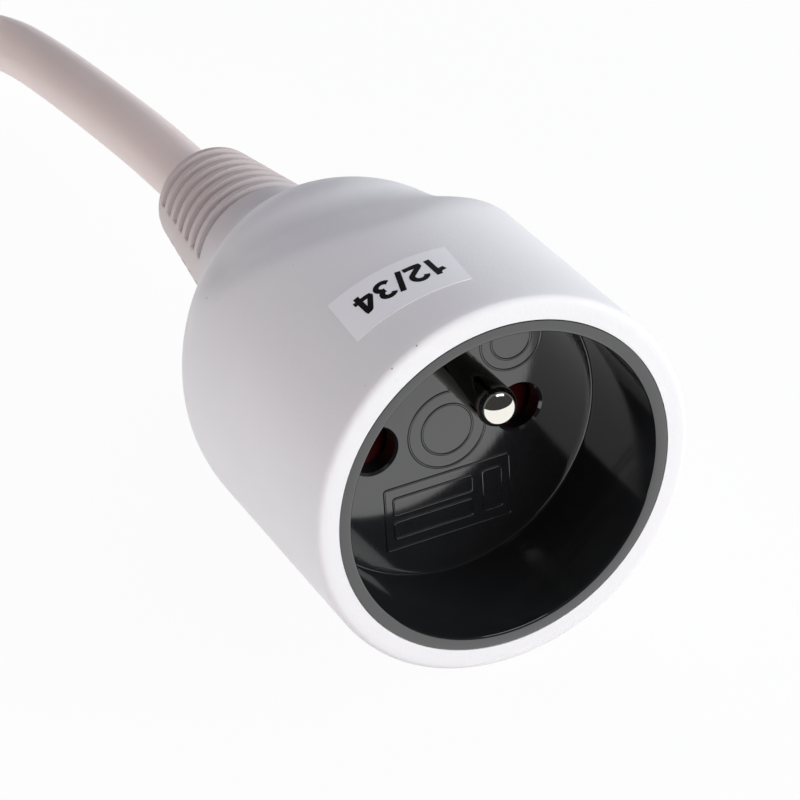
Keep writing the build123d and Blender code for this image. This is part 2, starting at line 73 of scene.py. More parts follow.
# Shell: bores, roundings, grooves of the relief and the inside as (s, half width, half height)
body_bore = 21.06
cord_bore = 4.22
shoulder_slope = 36.0
neck_round = 14.0
relief_end_round = 1.5
groove_inset = 2.85
groove_pitch = 2.71
groove_half = 0.85
groove_ends = (13.5, 16.5)
waist_depth = 0.55
waist_rise = (36, 46)
waist_fall = (52, 62)
shell_inside = ((69.4, cord_bore, cord_bore), (60.4, 5.1, 4.9), (53, 8.9, 7.3), (46, 12.5, 9.4),
                (41.2, 17, 10.8), (38, 18.4, 11.9), (31.2, 19.6, 15.8), (26.95, 19.8, 17),
                (26.9, body_bore, body_bore), (0.4, body_bore, body_bore))

# Finger scoops: two slopes that meet in a crease, bowed and faded by the angle from the top in degrees
scoop_span = (20, 62)
scoop_start = 24.9
scoop_end = 50.4
scoop_front_slope = 0.375
scoop_rear_slope = 0.37
scoop_crease = 3.0
scoop_edge = 1.0
scoop_sweep = 0.11
scoop_blend = 8
scoop_bow = 0.0021
scoop_end_bow = 2.4
scoop_fade = (46, 66)

# Cup: its skirt, floor and holes, and its rear guide walls as (x, z, width, height)
cup_end = 26.8
skirt_r = 19.23
floor_thickness = 2.4
hole_offset = 9.5
hole_chamfer = 0.3
earth_offset = 10.0
earth_hole_r = 2.25
guide_length = 7.1
guide_walls = ((14.25, -3.375, 1.5, 19.65), (-14.25, -3.375, 1.5, 19.65), (0, 4.3, 27, 1.5),
               (0, -18.0, 6.8, 3.4))

# Marks on the floor: rings as (x, z, r), frames as (left, right, top, bottom), and a ridge's section
mark_rings = ((0.1, -0.07, 5.03), (0.1, -0.07, 3.3), (8.93, 9.37, 3.98), (8.93, 9.37, 2.6))
mark_frames = ((-8.5, 8.0, -5.85, -14.3), (-7.4, 3.0, -7.3, -9.6), (-7.4, 3.0, -10.6, -12.9),
               (4.4, 6.9, -7.3, -12.9))
mark_round = 0.35
mark_section = ((-0.6, 0.05), (-0.42, -0.09), (0, -0.13), (0.42, -0.09), (0.6, 0.05))

# Sticker: its edges as (angle in degrees, s), and the place, width, slant and height of its digits
sticker_far = ((123.8, 16.4), (87.5, 15.0))
sticker_near = ((125.1, 8.0), (89.4, 6.8))
digit_start = 92.4
digit_width = 8.3
digit_s = 13.3
digit_slant = 0.2
digit_height = 3.6
stroke_half = 0.1


def length_property(name, description, default):
    """Property that holds a length in metres."""
    return FloatProperty(name=name, description=description, default=default, unit="LENGTH")


def colour_property(name, description, default):
    """Property that holds a colour."""
    return FloatVectorProperty(name=name, description=description, default=default, size=3,
                               subtype="COLOR")


class SocketSizes(bpy.types.PropertyGroup):
    """Outside of the moulded socket."""
    radius: length_property("Radius", "Outer radius", socket_r * MM)
    rim_round: length_property("Rim round", "Rounding of the front rim", 0.0008)
    straight: length_property("Straight", "Length of the straight part", 0.0335)
    neck_radius: length_property("Neck radius", "Radius where the relief starts", 0.0106)
    relief_end: length_property("Relief end", "Radius of the relief at the cord", 0.0074)
    groove_depth: length_property("Groove depth", "Depth of the relief's grooves", 0.00125)
    grooves: IntProperty(name="Grooves", description="Number of grooves on each side", default=7)


class CupSizes(bpy.types.PropertyGroup):
    """Black cup and its marks."""
    lip_radius: length_property("Lip radius", "Outer radius of the cup", 0.02103)
    recess_radius: length_property("Recess radius", "Inner radius of the cup", 0.0195)
    depth: length_property("Depth", "Depth of the recess", 0.015)
    hole_radius: length_property("Hole radius", "Radius of a pin hole", 0.00295)
    mark_width: length_property("Mark width", "Width of the raised lines on the floor", 0.0003)


class CordSizes(bpy.types.PropertyGroup):
    """Cord and the way it is put away."""
    diameter: length_property("Diameter", "Thickness of the cord", 0.0083)
    length: length_property("Length", "Real length of the cord", 1.38)
    pitch: length_property("Pitch", "Distance between strands of the hank", 0.0084)


class LeadColours(bpy.types.PropertyGroup):
    """Colours of the lead."""
    shell: colour_property("Shell", "White of the moulded socket", (0.83, 0.81, 0.825))
    # The sheath's pink tint is painted warm shade on a white cord
    sheath: colour_property("Sheath", "White of the cord", (0.84, 0.71, 0.67))
    cup: colour_property("Cup", "Black of the cup", (0.009, 0.0095, 0.0105))
    shutter: colour_property("Shutter", "Red of the shutter", (0.085, 0.008, 0.009))


def smooth_step(low, high, value):
    """Soft step from 0 to 1 between two values."""
    share = np.clip((value - low) / (high - low), 0, 1)
    return share * share * (3 - 2 * share)


def soft_least(first, second, width):
    """Smaller of two values, with their meeting rounded over a width."""
    near = np.maximum(width - np.abs(first - second), 0) / width
    return np.minimum(first, second) - near * near * width / 4


def rounded_line(corners, chord):
    """Points along a line of (s, r, radius) corners, each rounded by its radius, with short chords."""
    line = []
    for index, (s, r, radius) in enumerate(corners):
        here = Vector((s, r))
        if radius == 0:
            line.append(here)
            continue
        back = (Vector(corners[index - 1][:2]) - here).normalized()
        ahead = (Vector(corners[index + 1][:2]) - here).normalized()
        half = math.acos(max(-1, min(1, back.dot(ahead)))) / 2
        start = here + back * (radius / math.tan(half))
        end = here + ahead * (radius / math.tan(half))
        middle = here + (back + ahead).normalized() * (radius / math.sin(half))
        turn = math.pi - 2 * half
        steps = max(3, round(turn * radius / chord))
        first = start - middle
        last = end - middle
        for step in range(steps + 1):
            share = step / steps
            arm = first * math.sin((1 - share) * turn) + last * math.sin(share * turn)
            line.append(middle + arm / math.sin(turn))
    return [(point.x, point.y) for point in line]


def between(first, second, share):
    """Point part of the way from one point to another."""
    return tuple(low + (high - low) * share for low, high in zip(first, second))


def split_line(line, spacing):
    """Line with every run split to a spacing that depends on its place."""
    result = [line[0]]
    for first, second in zip(line, line[1:]):
        run = math.dist(first, second)
        pieces = max(1, math.ceil(run / spacing((first[0] + second[0]) / 2)))
        for piece in range(1, pieces + 1):
            result.append(between(first, second, piece / pieces))
    return result


def circle(count):
    """Angles of equal steps once round."""
    return [2 * math.pi * step / count for step in range(count)]


def around(s, r, angle, x=0.0, z=0.0):
    """Point at a radius and an angle about the socket's axis, or about a line beside it."""
    return (x + r * math.cos(angle), mouth_y + s, socket_r + z + r * math.sin(angle))


def ring_faces(rows, columns):
    """Quads between rows of points that each go once round, and from the last row to the first."""
    faces = []
    for row in range(rows):
        here = row * columns
        after = (row + 1) % rows * columns
        for column in range(columns):
            beside = (column + 1) % columns
            faces.append((here + column, here + beside, after + beside, after + column))
    return faces


def finish_piece(work, mesh, material, sharp):
    """Smooth piece from a mesh under work, riding on the lead."""
    bmesh.ops.recalc_face_normals(work, faces=work.faces)
    work.to_mesh(mesh)
    work.free()
    mesh.shade_smooth()
    mesh.set_sharp_from_angle(angle=math.radians(sharp))
    mesh.materials.append(material)
    piece = bpy.data.objects.new(mesh.name, mesh)
    bpy.context.scene.collection.objects.link(piece)
    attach(piece, "lead")
    return piece


def new_piece(name, points, faces, material, sharp=40):
    """Smooth piece from points in millimetres and their faces."""
    mesh = bpy.data.meshes.new(name)
    mesh.from_pydata([Vector(point) * MM for point in points], [], faces)
    work = bmesh.new()
    work.from_mesh(mesh)
    bmesh.ops.remove_doubles(work, verts=work.verts, dist=1e-7)
    return finish_piece(work, mesh, material, sharp)


def dress(name, material):
    """Puts a material on a node of the frame."""
    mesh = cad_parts[name].data
    mesh.materials.clear()
    mesh.materials.append(material)


def new_group(name, inputs, outputs):
    """Empty shader node group with its sockets and end nodes."""
    group = bpy.data.node_groups.new(name, "ShaderNodeTree")
    for label, kind, value in inputs:
        socket = group.interface.new_socket(name=label, in_out="INPUT", socket_type=kind)
        socket.default_value = value
    for label, kind in outputs:
        group.interface.new_socket(name=label, in_out="OUTPUT", socket_type=kind)
    start = group.nodes.new("NodeGroupInput")
    end = group.nodes.new("NodeGroupOutput")
    return group, start, end


def add_node(tree, kind, settings=None, values=None):
    """Node with its settings and socket values."""
    node = tree.nodes.new(kind)
    for key, value in (settings or {}).items():
        setattr(node, key, value)
    for key, value in (values or {}).items():
        node.inputs[key].default_value = value
    return node


def drift_roughness(group, start, end, noise):
    """Roughness that drifts with a noise, by the group's spread."""
    centred = add_node(group, "ShaderNodeMath", {"operation": "SUBTRACT"}, {1: 0.5})
    spread = add_node(group, "ShaderNodeMath", {"operation": "MULTIPLY"})
    total = add_node(group, "ShaderNodeMath", {"operation": "ADD", "use_clamp": True})
    link = group.links.new
    link(noise.outputs["Fac"], centred.inputs[0])
    link(centred.outputs[0], spread.inputs[0])
    link(start.outputs["Spread"], spread.inputs[1])
    link(spread.outputs[0], total.inputs[0])
    link(start.outputs["Roughness"], total.inputs[1])
    link(total.outputs[0], end.inputs["Roughness"])


def grain_group():
    """Fine moulded grain: a height for bump and a drift for roughness."""
    group, start, end = new_group(
        "Moulded grain",
        [("Scale", "NodeSocketFloat", 2400.0), ("Roughness", "NodeSocketFloat", 0.45),
         ("Spread", "NodeSocketFloat", 0.08)],
        [("Height", "NodeSocketFloat"), ("Roughness", "NodeSocketFloat")])
    place = add_node(group, "ShaderNodeTexCoord")
    fine = add_node(group, "ShaderNodeTexNoise", None, {"Detail": 3.0, "Roughness": 0.6})
    broad = add_node(group, "ShaderNodeTexNoise", None, {"Scale": 120.0, "Detail": 4.0})
    link = group.links.new
    link(place.outputs["Object"], fine.inputs["Vector"])
    link(place.outputs["Object"], broad.inputs["Vector"])
    link(start.outputs["Scale"], fine.inputs["Scale"])
    link(fine.outputs["Fac"], end.inputs["Height"])
    drift_roughness(group, start, end, broad)
    return group


def tone_group():
    """Slow drift between two tones, with sparse dark specks of dust."""
    group, start, end = new_group(
        "Tone and dust",
        [("Tone", "NodeSocketColor", (0.8, 0.8, 0.8, 1)),
         ("Shade", "NodeSocketColor", (0.7, 0.7, 0.7, 1)),
         ("Dust", "NodeSocketColor", (0.2, 0.18, 0.17, 1)), ("Scale", "NodeSocketFloat", 40.0),
         ("Dust scale", "NodeSocketFloat", 160.0), ("Dust size", "NodeSocketFloat", 0.03)],
        [("Color", "NodeSocketColor")])
    place = add_node(group, "ShaderNodeTexCoord")
    drift = add_node(group, "ShaderNodeTexNoise", None, {"Detail": 5.0, "Roughness": 0.55})
    cells = add_node(group, "ShaderNodeTexVoronoi", {"feature": "F1"})
    near = add_node(group, "ShaderNodeMath", {"operation": "LESS_THAN"})
    few = add_node(group, "ShaderNodeMath", {"operation": "GREATER_THAN"}, {1: 0.72})
    parts = add_node(group, "ShaderNodeSeparateColor")
    both = add_node(group, "ShaderNodeMath", {"operation": "MULTIPLY"})
    tones = add_node(group, "ShaderNodeMix", {"data_type": "RGBA"})
    dusty = add_node(group, "ShaderNodeMix", {"data_type": "RGBA"})
    link = group.links.new
    link(place.outputs["Object"], drift.inputs["Vector"])
    link(place.outputs["Object"], cells.inputs["Vector"])
    link(start.outputs["Scale"], drift.inputs["Scale"])
    link(start.outputs["Dust scale"], cells.inputs["Scale"])
    link(cells.outputs["Distance"], near.inputs[0])
    link(start.outputs["Dust size"], near.inputs[1])
    link(cells.outputs["Color"], parts.inputs["Color"])
    link(parts.outputs["Red"], few.inputs[0])
    link(near.outputs[0], both.inputs[0])
    link(few.outputs[0], both.inputs[1])
    link(drift.outputs["Fac"], tones.inputs["Factor"])
    link(start.outputs["Tone"], tones.inputs["A"])
    link(start.outputs["Shade"], tones.inputs["B"])
    link(both.outputs[0], dusty.inputs["Factor"])
    link(tones.outputs["Result"], dusty.inputs["A"])
    link(start.outputs["Dust"], dusty.inputs["B"])
    link(dusty.outputs["Result"], end.inputs["Color"])
    return group


def reach_group():
    """Share of the way between two places along the lead."""
    group, start, end = new_group(
        "Reach along the lead",
        [("First", "NodeSocketFloat", 0.0), ("Last", "NodeSocketFloat", 0.01)],
        [("Share", "NodeSocketFloat")])
    place = add_node(group, "ShaderNodeTexCoord")
    parts = add_node(group, "ShaderNodeSeparateXYZ")
    reach = add_node(group, "ShaderNodeMapRange", {"interpolation_type": "SMOOTHSTEP"})
    link = group.links.new
    link(place.outputs["Object"], parts.inputs["Vector"])
    link(parts.outputs["Y"], reach.inputs["Value"])
    link(start.outputs["First"], reach.inputs["From Min"])
    link(start.outputs["Last"], reach.inputs["From Max"])
    link(reach.outputs["Result"], end.inputs["Share"])
    return group


def streak_group():
    """Fine streaks along one direction, as a height and a roughness."""
    group, start, end = new_group(
        "Fine streaks",
        [("Stretch", "NodeSocketVector", (1.0, 1.0, 1.0)), ("Roughness", "NodeSocketFloat", 0.2),
         ("Spread", "NodeSocketFloat", 0.2)],
        [("Height", "NodeSocketFloat"), ("Roughness", "NodeSocketFloat")])
    place = add_node(group, "ShaderNodeTexCoord")
    stretch = add_node(group, "ShaderNodeVectorMath", {"operation": "MULTIPLY"})
    lines = add_node(group, "ShaderNodeTexNoise", None,
                     {"Scale": 1.0, "Detail": 4.0, "Roughness": 0.65})
    link = group.links.new
    link(place.outputs["Object"], stretch.inputs[0])
    link(start.outputs["Stretch"], stretch.inputs[1])
    link(stretch.outputs["Vector"], lines.inputs["Vector"])
    link(lines.outputs["Fac"], end.inputs["Height"])
    drift_roughness(group, start, end, lines)
    return group


def shared_group(name, maker):
    """Node group by name, made at its first use."""
    return bpy.data.node_groups.get(name) or maker()


def bare_material(name):
    """New material with its node tree and shader."""
    material = bpy.data.materials.new(name)
    material.use_nodes = True
    shader = material.node_tree.nodes["Principled BSDF"]
    return material, material.node_tree, shader


def put_group(tree, group, values):
    """Node that places a group with its own values."""
    node = tree.nodes.new("ShaderNodeGroup")
    node.node_tree = group
    for key, value in values.items():
        node.inputs[key].default_value = value
    return node


def change_along(material, first, last, tone):
    """Changes a material's tone between two distances behind the mouth."""
    tree = material.node_tree
    colour = tree.nodes["Principled BSDF"].inputs["Base Color"]
    reach = put_group(tree, shared_group("Reach along the lead", reach_group),
                      {"First": (mouth_y + first) * MM, "Last": (mouth_y + last) * MM})
    tint = add_node(tree, "ShaderNodeMix", {"data_type": "RGBA", "blend_type": "MULTIPLY"})
    tint.inputs["B"].default_value = full(tone)
    before = colour.links[0].from_socket
    tree.links.new(reach.outputs["Share"], tint.inputs["Factor"])
    tree.links.new(before, tint.inputs["A"])
    tree.links.new(tint.outputs["Result"], colour)
    return material


def put_bump(tree, shader, height, distance):
    """Bump node from a height to the shader's normal."""
    bump = add_node(tree, "ShaderNodeBump", None, {"Distance": distance, "Strength": 1.0})
    tree.links.new(height, bump.inputs["Height"])
    tree.links.new(bump.outputs["Normal"], shader.inputs["Normal"])


def full(colour):
    """Colour with its alpha."""
    return (colour[0], colour[1], colour[2], 1.0)


def scaled(colour, factor):
    """Colour made lighter or darker by a factor."""
    return [factor * part for part in colour]


def plastic(name, tone, shade, roughness=0.45, spread=0.1, grain=2400.0, depth=0.00003, dust=0.03,
            specular=0.5, drift=40.0, dust_scale=160.0):
    """Moulded plastic with a slow drift of tone, fine grain and a little dust."""
    if name in bpy.data.materials:
        return bpy.data.materials[name]
    material, tree, shader = bare_material(name)
    tones = put_group(tree, shared_group("Tone and dust", tone_group),
                      {"Tone": full(tone), "Shade": full(shade), "Dust": full(scaled(shade, 0.35)),
                       "Scale": drift, "Dust scale": dust_scale, "Dust size": dust})
    moulded = put_group(tree, shared_group("Moulded grain", grain_group),
                        {"Scale": grain, "Roughness": roughness, "Spread": spread})
    tree.links.new(tones.outputs["Color"], shader.inputs["Base Color"])
    tree.links.new(moulded.outputs["Roughness"], shader.inputs["Roughness"])
    put_bump(tree, shader, moulded.outputs["Height"], depth)
    shader.inputs["Specular IOR Level"].default_value = specular
    return material


def streaked(name, tone, shade, stretch, roughness, spread, depth, metallic=0.0, specular=0.5,
             coat=0.0):
    """Glossy plastic or metal with fine streaks."""
    if name in bpy.data.materials:
        return bpy.data.materials[name]
    material, tree, shader = bare_material(name)
    tones = put_group(tree, shared_group("Tone and dust", tone_group),
                      {"Tone": full(tone), "Shade": full(shade), "Dust": full(scaled(shade, 2.5)),
                       "Scale": 160.0, "Dust scale": 420.0, "Dust size": 0.03})
    lines = put_group(tree, shared_group("Fine streaks", streak_group),
                      {"Stretch": stretch, "Roughness": roughness, "Spread": spread})
    tree.links.new(tones.outputs["Color"], shader.inputs["Base Color"])
    tree.links.new(lines.outputs["Roughness"], shader.inputs["Roughness"])
    put_bump(tree, shader, lines.outputs["Height"], depth)
    shader.inputs["Metallic"].default_value = metallic
    shader.inputs["Specular IOR Level"].default_value = specular
    shader.inputs["Coat Weight"].default_value = coat
    shader.inputs["Coat Roughness"].default_value = 0.08
    return material


def shell_material():
    """White moulded plastic of the plug."""
    tone = bpy.context.scene.lead_colours.shell
    return plastic("shell_white", tone, scaled(tone, 0.93), roughness=0.42, spread=0.12)


def neck_material():
    """White of the socket's shell, with painted shade that makes it darker and warmer along its neck.
    """
    tone = bpy.context.scene.lead_colours.shell
    made = plastic("socket_white", tone, scaled(tone, 0.93), roughness=0.42, spread=0.12, dust=0.04,
                   dust_scale=320.0)
    # Painted shade: the shell's colour turns darker and warmer along the neck and relief towards the
    # cord
    change_along(made, 50.0, 62.0, (0.82, 0.79, 0.79))
    return change_along(made, 60.0, 72.0, (0.92, 0.84, 0.81))


def sheath_material():
    """White sheath of the cord, tinted pink as painted warm shade."""
    tone = bpy.context.scene.lead_colours.sheath
    return plastic("sheath_white", tone, scaled(tone, 0.9), roughness=0.4, grain=1500.0, depth=0.00004)


def cup_material():
    """Glossy black of the cup, with fine streaks from its mould."""
    tone = bpy.context.scene.lead_colours.cup
    return streaked("cup_black", tone, scaled(tone, 1.5), (2600.0, 2600.0, 130.0), roughness=0.09,
                    spread=0.08, depth=0.000006, specular=1.0, coat=0.85)


def nickel_material():
    """Bright nickel plate."""
    return streaked("nickel_plate", (0.78, 0.76, 0.72), (0.7, 0.68, 0.64), (900.0, 120.0, 900.0),
                    roughness=0.08, spread=0.08, depth=0.000002, metallic=1.0)


def pin_material():
    """Nickel plate of the earth pin, bright on its tip, with a painted dark reflection that makes its
    shaft nearly black.
    """
    made = streaked("pin_plate", (0.96, 0.94, 0.88), (0.9, 0.87, 0.8), (900.0, 120.0, 900.0),
                    roughness=0.06, spread=0.06, depth=0.000002, metallic=1.0)
    # Painted reflection: the shaft behind the round end is darkened nearly to black where it mirrors
    # the black cup
    return change_along(made, 1.6, 2.6, (0.09, 0.1, 0.09))


def scoop_depth(s, angles):
    """Depth of the finger scoops round the body at one distance behind the mouth."""
    from_top = np.degrees(np.arccos(np.clip(np.abs(np.sin(angles)), 0, 1)))
    swept = scoop_sweep * (np.hypot(from_top, scoop_blend) - scoop_blend)
    start = scoop_start + swept + scoop_bow * from_top ** 2
    end = scoop_end - scoop_end_bow * (from_top / 45) ** 2
    depth = soft_least(scoop_front_slope * (s - start), scoop_rear_slope * (end - s), scoop_crease)
    depth = np.maximum(-soft_least(-depth, 0 * depth, scoop_edge), 0)
    return depth * (1 - smooth_step(*scoop_fade, from_top))


class LEAD_OT_shell(bpy.types.Operator):
    """Builds the white shell with its finger scoops and ribbed relief"""
    bl_idname = "lead.shell"
    bl_label = "Socket shell"

    def execute(self, context):
        sizes = context.scene.lead_socket
        groove_first = socket_length - groove_inset
        grooves = [groove_first - groove_pitch * index for index in range(sizes.grooves)]
        outer = split_line(self.outline(sizes), lambda s: self.spacing(s, grooves))
        columns = 256
        angles = np.array(circle(columns))
        from_side = np.degrees(np.arcsin(np.clip(np.abs(np.sin(angles)), 0, 1)))
        ribbed = smooth_step(*groove_ends, from_side)
        points = []
        for s, r in outer:
            line = np.full(columns, r)
            if scoop_span[0] < s < scoop_span[1]:
                line = line - scoop_depth(s, angles)
                waist = smooth_step(*waist_rise, s) * (1 - smooth_step(*waist_fall, s))
                line = line - waist_depth * waist * np.cos(angles) ** 2
            for index, groove in enumerate(grooves):
                deep = sizes.groove_depth / MM * (0.8 + 0.1 * index)
                line = line - deep * ribbed * (1 - smooth_step(0.1, groove_half, abs(s - groove)))
            points += [around(s, r, angle) for r, angle in zip(line, angles)]
        for s, wide, high in shell_inside:
            for angle in angles:
                points.append((wide * math.cos(angle), mouth_y + s, socket_r + high * math.sin(angle)))
        faces = ring_faces(len(outer) + len(shell_inside), columns)
        piece = new_piece("socket_shell", points, faces, neck_material())
        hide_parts("socket_body")
        return {"FINISHED"}

    @staticmethod
    def outline(sizes):
        """Outside of the shell before its scoops and grooves, from the cup's lip to the cord."""
        radius = sizes.radius / MM
        neck = sizes.neck_radius / MM
        shoulder_s = sizes.straight / MM + radius * math.tan(math.radians(shoulder_slope / 2))
        neck_s = shoulder_s + (radius - neck) / math.tan(math.radians(shoulder_slope))
        corners = [(0, body_bore, 0), (0, radius, sizes.rim_round / MM), (shoulder_s, radius, radius),
                   (neck_s, neck, neck_round), (socket_length, sizes.relief_end / MM, relief_end_round),
                   (socket_length, cord_bore, 0)]
        return rounded_line(corners, 0.3)

    @staticmethod
    def spacing(s, grooves):
        """Distance between rows of points, smaller where the form changes faster."""
        for end, step in ((0.9, 0.7), (21.5, 1.3), (62, 0.42)):
            if s < end:
                return step
        return 0.14 if grooves[-1] - 1.2 < s < grooves[0] + 1.2 else 0.4


class LEAD_OT_cup(bpy.types.Operator):
    """Builds the black cup with its floor, holes and rear guides"""
    bl_idname = "lead.cup"
    bl_label = "Black cup"

    def execute(self, context):
        sizes = context.scene.lead_cup
        lip = sizes.lip_radius / MM
        recess = sizes.recess_radius / MM
        depth = sizes.depth / MM
        hole = sizes.hole_radius / MM
        floor_r = recess - 1.0
        back_s = depth + floor_thickness
        corners = [(depth, floor_r, 0), (depth, recess, 0.2), (0, recess, 0.35), (0, lip, 0.15),
                   (cup_end, lip, 0), (cup_end, skirt_r, 0), (back_s, skirt_r, 0), (back_s, floor_r, 0)]
        work = bmesh.new()
        rows = self.rings(work, rounded_line(corners, 0.12), 192)
        front_loops = [rows[0]]
        back_loops = [rows[-1]]
        holes = ((hole_offset, 0, hole, hole_chamfer), (-hole_offset, 0, hole, hole_chamfer),
                 (0, earth_offset, earth_hole_r, 0.05))
        for x, z, r, chamfer in holes:
            line = ((depth, r + chamfer), (depth + chamfer, r), (back_s, r))
            loops = self.rings(work, line, 64, x, z)
            front_loops.append(loops[0])
            back_loops.append(loops[-1])
        for loops in (front_loops, back_loops):
            edges = []
            for loop in loops:
                for first, second in zip(loop, loop[1:] + loop[:1]):
                    edges.append(work.edges.get((first, second)) or work.edges.new((first, second)))
            bmesh.ops.triangle_fill(work, use_beauty=True, edges=edges, normal=(0, -1, 0))
        for x, z, wide, high in guide_walls:
            size = Matrix.Diagonal((wide, guide_length, high, 1))
            place = Matrix.Translation((x, mouth_y + back_s + guide_length / 2, socket_r + z))
            bmesh.ops.create_cube(work, size=1, matrix=place @ size)
        bmesh.ops.scale(work, vec=(MM, MM, MM), verts=work.verts)
        mesh = bpy.data.meshes.new("socket_cup")
        piece = finish_piece(work, mesh, cup_material(), 35)
        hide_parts("socket_insert")
        return {"FINISHED"}

    @staticmethod
    def rings(work, line, count, x=0.0, z=0.0):
        """Rings of corners along a line of (s, r), with quads between neighbours."""
        rows = [[work.verts.new(around(s, r, angle, x, z)) for angle in circle(count)] for s, r in line]
        for low, high in zip(rows, rows[1:]):
            for column in range(count):
                beside = (column + 1) % count
                work.faces.new((low[column], low[beside], high[beside], high[column]))
        return rows


class LEAD_OT_marks(bpy.types.Operator):
    """Raises plain rings and plain frames on the cup's floor"""
    bl_idname = "lead.marks"
    bl_label = "Floor marks"

    def execute(self, context):
        sizes = context.scene.lead_cup
        width = sizes.mark_width / MM
        floor_s = sizes.depth / MM
        points = []
        faces = []
        for x, z, r in mark_rings:
            path = [(x + r * math.cos(angle), z + r * math.sin(angle)) for angle in circle(96)]
            self.raised(points, faces, path, width, floor_s)
        for left, right, top, bottom in mark_frames:
            corners = ((left, top), (right, top), (right, bottom), (left, bottom))
            rounded = [(x, z, mark_round) for x, z in corners]
            ring = rounded_line([(left, bottom, 0), *rounded, (left, top, 0)], 0.12)
            self.raised(points, faces, split_line(ring[1:-1], lambda s: 0.8), width, floor_s)
        new_piece("floor_marks", points, faces, cup_material(), sharp=60)
        return {"FINISHED"}

    @staticmethod
    def raised(points, faces, path, width, floor_s):
        """Low rounded ridge along a closed path on the floor."""
        count = len(path)
        across = len(mark_section)
        start = len(points)
        for index, (x, z) in enumerate(path):
            before = Vector(path[index - 1])
            after = Vector(path[(index + 1) % count])
            along = (after - before).normalized()
            for side, lift in mark_section:
                points.append((x - along.y * side * width, mouth_y + floor_s + lift,
                               socket_r + z + along.x * side * width))
        for index in range(count):
            here = start + index * across
            beside = start + (index + 1) % count * across
            for part in range(across):
                other = (part + 1) % across
                faces.append((here + part, here + other, beside + other, beside + part))


class LEAD_OT_earth_pin(bpy.types.Operator):
    """Builds the plated earth pin with its round end"""
    bl_idname = "lead.earth_pin"
    bl_label = "Earth pin"

    def execute(self, context):
        pin_r = 2.4
        stem_r = 2.2
        flange_r = 3.4
        hub = 0.02
        corners = [(-0.35, hub, 0), (-0.35, pin_r, 2.3), (14.6, pin_r, 0.1), (14.6, stem_r, 0),
                   (17.4, stem_r, 0), (17.4, flange_r, 0.2), (18.8, flange_r, 0.2), (18.8, stem_r, 0),
                   (30.9, stem_r, 0.3), (30.9, hub, 0)]
        line = rounded_line(corners, 0.1)
        angles = circle(96)
        points = [around(s, r, angle, 0, earth_offset) for s, r in line for angle in angles]
        faces = ring_faces(len(line), len(angles))
        piece = new_piece("earth_pin_plated", points, faces, pin_material())
        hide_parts("earth_pin")
        return {"FINISHED"}


class LEAD_OT_label(bpy.types.Operator):
    """Sticks a plain white label with generic digits on the shell"""
    bl_idname = "lead.label"
    bl_label = "Sticker"

    def execute(self, context):
        radius = context.scene.lead_socket.radius / MM
        columns = 48
        rows = 14
        points = []
        faces = []
        for lift in (0.01, 0.06):
            for row in range(rows + 1):
                for column in range(columns + 1):
                    near = between(*sticker_near, column / columns)
                    far = between(*sticker_far, column / columns)
                    degrees, s = between(near, far, row / rows)
                    points.append(around(s, radius + lift, math.radians(degrees)))
        across = columns + 1
        layer = across * (rows + 1)
        for row in range(rows):
            for column in range(columns):
                first = row * across + column
                quad = (first, first + 1, first + across + 1, first + across)
                faces.append(quad)
                faces.append(tuple(corner + layer for corner in reversed(quad)))
        border = list(range(columns))
        border += [columns + row * across for row in range(rows)]
        border += [rows * across + columns - column for column in range(columns)]
        border += [(rows - row) * across for row in range(rows)]
        for first, second in zip(border, border[1:] + border[:1]):
            faces.append((first, second, second + layer, first + layer))
        paper = plastic("sticker_paper", (0.94, 0.93, 0.95), (0.91, 0.9, 0.92), roughness=0.34,
                        grain=5000.0, depth=0.00001, dust=0.02)
        new_piece("sticker", points, faces, paper, sharp=50)
        self.digits(radius)
        return {"FINISHED"}

    @staticmethod
    def arc(x, y, wide, high, start, end):
        """Points of an arc of a digit's stroke, in degrees."""
        angles = [math.radians(start + (end - start) * step / 14) for step in range(15)]
        return [(x + wide * math.cos(angle), y + high * math.sin(angle)) for angle in angles]

    def digits(self, radius):
        """Bold generic digits made of strokes, bent round the shell."""
        one = [[(0.34, 0.0), (0.34, 1.0)], [(0.34, 0.86), (0.2, 0.74), (0.04, 0.7)]]
        two = [self.arc(0.33, 0.67, 0.24, 0.25, 165, -30) + [(0.12, 0.17), (0.1, 0.085), (0.64, 0.085)]]
        three = [self.arc(0.3, 0.71, 0.21, 0.205, 155, -85), self.arc(0.3, 0.295, 0.24, 0.21, 85, -155)]
        four = [[(0.48, 0.0), (0.48, 0.96), (0.38, 0.9), (0.08, 0.33), (0.1, 0.26), (0.68, 0.26)]]
        bar = [[(0.02, -0.04), (0.34, 1.04)]]
        points = []
        faces = []
        start = 0.0
        for glyph, step in ((one, 0.58), (two, 0.76), (bar, 0.44), (three, 0.72), (four, 0.7)):
            for stroke in glyph:
                line = split_line([(start + x, y) for x, y in stroke], lambda x: 0.08)
                self.stroke(points, faces, line, radius)
            start += step
        ink = plastic("sticker_ink", (0.006, 0.006, 0.0065), (0.01, 0.01, 0.011), roughness=0.5,
                      grain=4000.0, depth=0.00001, dust=0.0, specular=0.15)
        new_piece("sticker_digits", points, faces, ink, sharp=60)

    @staticmethod
    def stroke(points, faces, line, radius):
        """Flat thin stroke of a digit along a line, on the sticker."""
        first = len(points)
        for index, (x, y) in enumerate(line):
            before = Vector(line[max(index - 1, 0)])
            after = Vector(line[min(index + 1, len(line) - 1)])
            along = (after - before).normalized()
            for side in (-stroke_half, stroke_half):
                for lift in (0.05, 0.085):
                    angle = math.radians(digit_start + digit_width * (x - along.y * side))
                    s = digit_s + digit_slant * x - digit_height * (y + along.x * side)
                    points.append(around(s, radius + lift, angle))
        last = len(line) - 1
        for index in range(last):
            here = first + 4 * index
            for low, high in ((0, 1), (1, 3), (3, 2), (2, 0)):
                faces.append((here + low, here + high, here + 4 + high, here + 4 + low))
        for end in (first, first + 4 * last):
            faces.append((end, end + 1, end + 3, end + 2))


